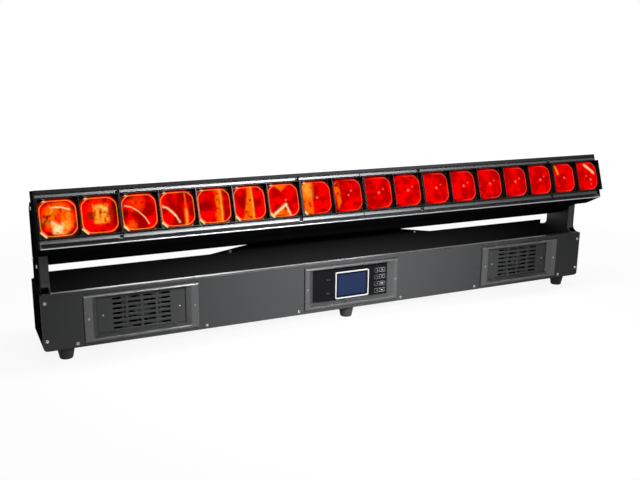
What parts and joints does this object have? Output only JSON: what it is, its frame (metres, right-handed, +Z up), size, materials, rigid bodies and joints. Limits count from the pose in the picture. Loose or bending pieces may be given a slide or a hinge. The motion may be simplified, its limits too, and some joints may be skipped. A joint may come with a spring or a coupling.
{
  "type": "led strip batten",
  "caption": "Motorised tilting LED batten: a long head with a row of square zoom lenses, held between two yoke arms on a sheet-metal base with fan vents and a menu display.",
  "frame": {"origin": "on the floor under the middle of the whole light, between the foot bottoms", "axes": "+X along the bar, +Y from the lens side to the socket side, +Z up"},
  "size_m": [1.002, 0.1552, 0.2592],
  "materials": {
    "base_black": "satin black powder coat",
    "panel_grey": "satin dark grey powder coat",
    "arm_grey": "satin dark grey powder coat",
    "frame_plastic": "satin moulded",
    "gloss_black": "glossy overlay",
    "white_print": "satin",
    "screen_blue": "unlit lcd behind a clear window",
    "key_black": "satin",
    "circuit_green": "solder mask",
    "black_plastic": "moulded",
    "foot_rubber": "matte",
    "belt_rubber": "matte",
    "bare_aluminium": "milled",
    "motor_black": "gloss paint",
    "bearing_steel": "ground",
    "head_black": "satin black powder coat",
    "sink_black": "black anodised",
    "board_white": "white solder mask on aluminium",
    "bezel_grey": "dark anodised",
    "cell_black": "moulded",
    "lens_red": "clear moulded lens lit red"
  },
  "bodies": {
    "base": {"base_tray": "base_black", "front_panel": "panel_grey", "rear_panel": "base_black", "deck_cover": "base_black", "yoke_arm_left": "arm_grey", "yoke_arm_right": "arm_grey", "arm_cover_left": "base_black", "arm_cover_right": "base_black", "vent_frame_left": "frame_plastic", "vent_frame_right": "frame_plastic", "vent_grille_left": "panel_grey", "vent_grille_right": "panel_grey", "display_frame": "frame_plastic", "menu_panel": "gloss_black", "screen_frame": "white_print", "screen": "screen_blue", "control_board": "circuit_green", "fan_frame_left": "black_plastic", "fan_frame_right": "black_plastic", "rubber_feet_left": "foot_rubber", "rubber_feet_middle": "foot_rubber", "rubber_feet_right": "foot_rubber", "power_supply": "bare_aluminium", "led_driver_board": "circuit_green", "tilt_motor": "motor_black", "tilt_belt": "belt_rubber", "pivot_bearing_left": "bearing_steel", "pivot_bearing_right": "bearing_steel", "power_sockets": "black_plastic", "data_sockets": "black_plastic"},
    "head": {"head_top_cover": "head_black", "head_bottom_cover": "head_black", "head_end_cap_left": "head_black", "head_end_cap_right": "head_black", "trunnion_left": "bearing_steel", "trunnion_right": "bearing_steel", "head_pulley": "bare_aluminium", "heat_sink": "sink_black", "led_board": "board_white", "zoom_drive_left": "black_plastic", "zoom_drive_right": "black_plastic", "bezel_top_left": "bezel_grey", "bezel_top_right": "bezel_grey", "bezel_bottom_left": "bezel_grey", "bezel_bottom_right": "bezel_grey"},
    "zoom_left": {"lens_carrier_left": "cell_black", "lens_set_1": "lens_red", "lens_set_2": "lens_red", "lens_set_3": "lens_red"},
    "zoom_right": {"lens_carrier_right": "cell_black", "lens_set_4": "lens_red", "lens_set_5": "lens_red", "lens_set_6": "lens_red"},
    "motor_pulley": {"motor_pulley": "bare_aluminium"},
    "fan_rotor_left": {"fan_rotor_left": "black_plastic"},
    "fan_rotor_right": {"fan_rotor_right": "black_plastic"},
    "key_1": {"key_1": "key_black"},
    "key_2": {"key_2": "key_black"},
    "key_3": {"key_3": "key_black"},
    "key_4": {"key_4": "key_black"}
  },
  "joints": [
    {"name": "head_tilt", "type": "hinge", "parent": "base", "child": "head", "pos_m": [0, 0.01858, 0.194], "axis": [1, 0, 0], "range_deg": [-171, 29]},
    {"name": "zoom_left", "type": "slide", "parent": "head", "child": "zoom_left", "axis": [0, -0.9455, 0.3256], "range_m": [-0.016, 0]},
    {"name": "zoom_right", "type": "slide", "parent": "head", "child": "zoom_right", "axis": [0, -0.9455, 0.3256], "range_m": [-0.016, 0]},
    {"name": "motor_pulley_spin", "type": "hinge", "parent": "base", "child": "motor_pulley", "pos_m": [-0.4916, 0.01858, 0.046], "axis": [1, 0, 0], "range_deg": [-688, 120]},
    {"name": "fan_spin_left", "type": "hinge", "parent": "base", "child": "fan_rotor_left", "pos_m": [-0.3545, -0.0144, 0.0629], "axis": [0, 1, 0], "continuous": true},
    {"name": "fan_spin_right", "type": "hinge", "parent": "base", "child": "fan_rotor_right", "pos_m": [0.3545, -0.0144, 0.0629], "axis": [0, 1, 0], "continuous": true},
    {"name": "key_1_press", "type": "slide", "parent": "base", "child": "key_1", "axis": [0, 1, 0], "range_m": [0, 0.001], "stiffness_N_per_m": 400},
    {"name": "key_2_press", "type": "slide", "parent": "base", "child": "key_2", "axis": [0, 1, 0], "range_m": [0, 0.001], "stiffness_N_per_m": 400},
    {"name": "key_3_press", "type": "slide", "parent": "base", "child": "key_3", "axis": [0, 1, 0], "range_m": [0, 0.001], "stiffness_N_per_m": 400},
    {"name": "key_4_press", "type": "slide", "parent": "base", "child": "key_4", "axis": [0, 1, 0], "range_m": [0, 0.001], "stiffness_N_per_m": 400}
  ],
  "couplings": [
    {"joint": "motor_pulley_spin", "follows": "head_tilt", "ratio": 4},
    {"joint": "zoom_right", "follows": "zoom_left", "ratio": 1}
  ]
}
